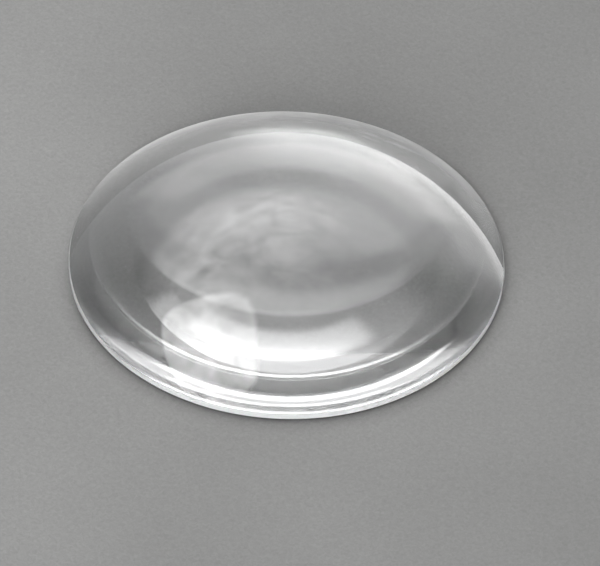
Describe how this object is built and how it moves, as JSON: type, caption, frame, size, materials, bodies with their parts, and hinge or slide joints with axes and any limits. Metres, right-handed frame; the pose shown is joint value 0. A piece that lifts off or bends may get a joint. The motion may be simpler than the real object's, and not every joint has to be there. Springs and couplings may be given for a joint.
{
  "type": "plano convex lens",
  "caption": "Round plano-convex glass lens: one flat face, one steep spherical face and a thin ground edge.",
  "frame": {"origin": "centre of the flat face, where the optical axis leaves it", "axes": "+Z along the optical axis from the flat face to the crown of the dome; X and Y lie in the flat face"},
  "size_m": [0.05, 0.05, 0.011],
  "materials": {
    "glass": "polished, with a fine ground edge"
  },
  "bodies": {
    "root": {"lens": "glass"}
  },
  "joints": []
}
